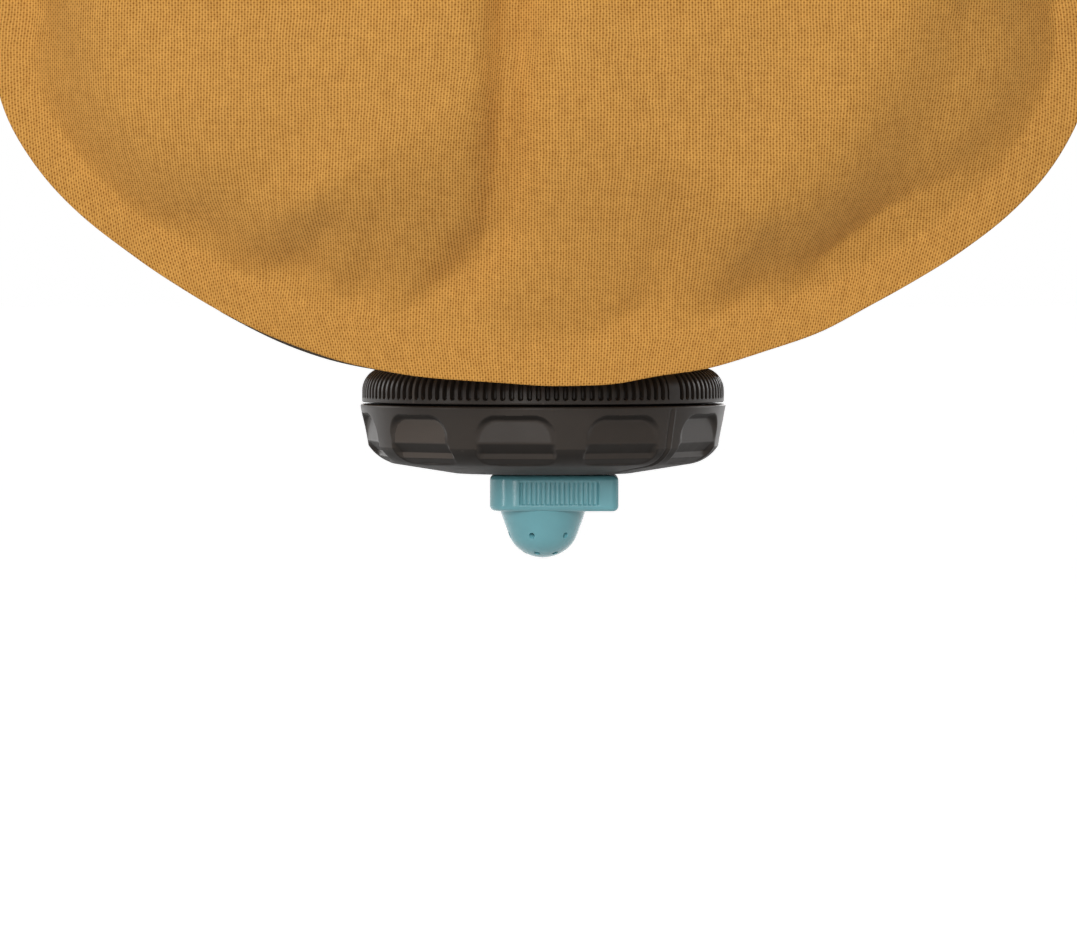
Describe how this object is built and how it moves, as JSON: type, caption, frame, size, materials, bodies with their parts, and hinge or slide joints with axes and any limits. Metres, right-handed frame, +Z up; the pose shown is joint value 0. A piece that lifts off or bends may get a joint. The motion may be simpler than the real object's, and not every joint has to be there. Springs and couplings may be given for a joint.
{
  "type": "hanging water bag",
  "caption": "Hanging cloth water bag with a carry handle, side lash straps, a wide screw cap at the bottom and a quarter-turn spray nozzle.",
  "frame": {"origin": "middle of the flat underside of the carry handle's grip, where a hook or branch holds the bag up", "axes": "+Z up; +X to the right of someone facing the front panel; +Y from the front panel to the back panel"},
  "size_m": [0.2904, 0.176, 0.4511],
  "materials": {
    "bag_cloth": "coated plain weave",
    "patch_cloth": "coated plain weave",
    "webbing": "woven webbing",
    "charcoal_plastic": "satin",
    "teal_plastic": "satin",
    "silicone": "matte",
    "grip_rubber": "matte",
    "spring_steel": "satin"
  },
  "bodies": {
    "bag": {"front_panel": "bag_cloth", "back_panel": "bag_cloth", "mouth_gusset": "bag_cloth", "left_gusset": "bag_cloth", "right_gusset": "bag_cloth", "base_gusset": "bag_cloth", "mouth_flange": "charcoal_plastic", "flange_gasket": "silicone", "knurled_ring": "charcoal_plastic", "handle_strap": "webbing", "handle_grip": "grip_rubber", "handle_patch_left": "patch_cloth", "handle_patch_right": "patch_cloth", "side_strap_left": "webbing", "side_strap_right": "webbing", "side_patch_left_lower": "patch_cloth", "side_patch_left_upper": "patch_cloth", "side_patch_right_lower": "patch_cloth", "side_patch_right_upper": "patch_cloth"},
    "cap_seal": {"cap_gasket": "silicone"},
    "cap": {"cap_shell": "charcoal_plastic"},
    "nozzle": {"spray_nozzle": "teal_plastic", "upper_oring": "silicone", "lower_oring": "silicone", "stem_clip": "spring_steel"}
  },
  "joints": [
    {"name": "cap_lift", "type": "slide", "parent": "bag", "child": "cap_seal", "axis": [0, 0, -1], "range_m": [0, 0.018]},
    {"name": "cap_turn", "type": "hinge", "parent": "cap_seal", "child": "cap", "pos_m": [0, 0, -0.4053], "axis": [0, 0, -1], "range_deg": [0, 360]},
    {"name": "valve_turn", "type": "hinge", "parent": "cap", "child": "nozzle", "pos_m": [0, 0, -0.4053], "axis": [0, 0, 1], "range_deg": [0, 90]}
  ],
  "couplings": [
    {"joint": "cap_lift", "follows": "cap_turn", "m_per_rad": 0.0028648}
  ]
}
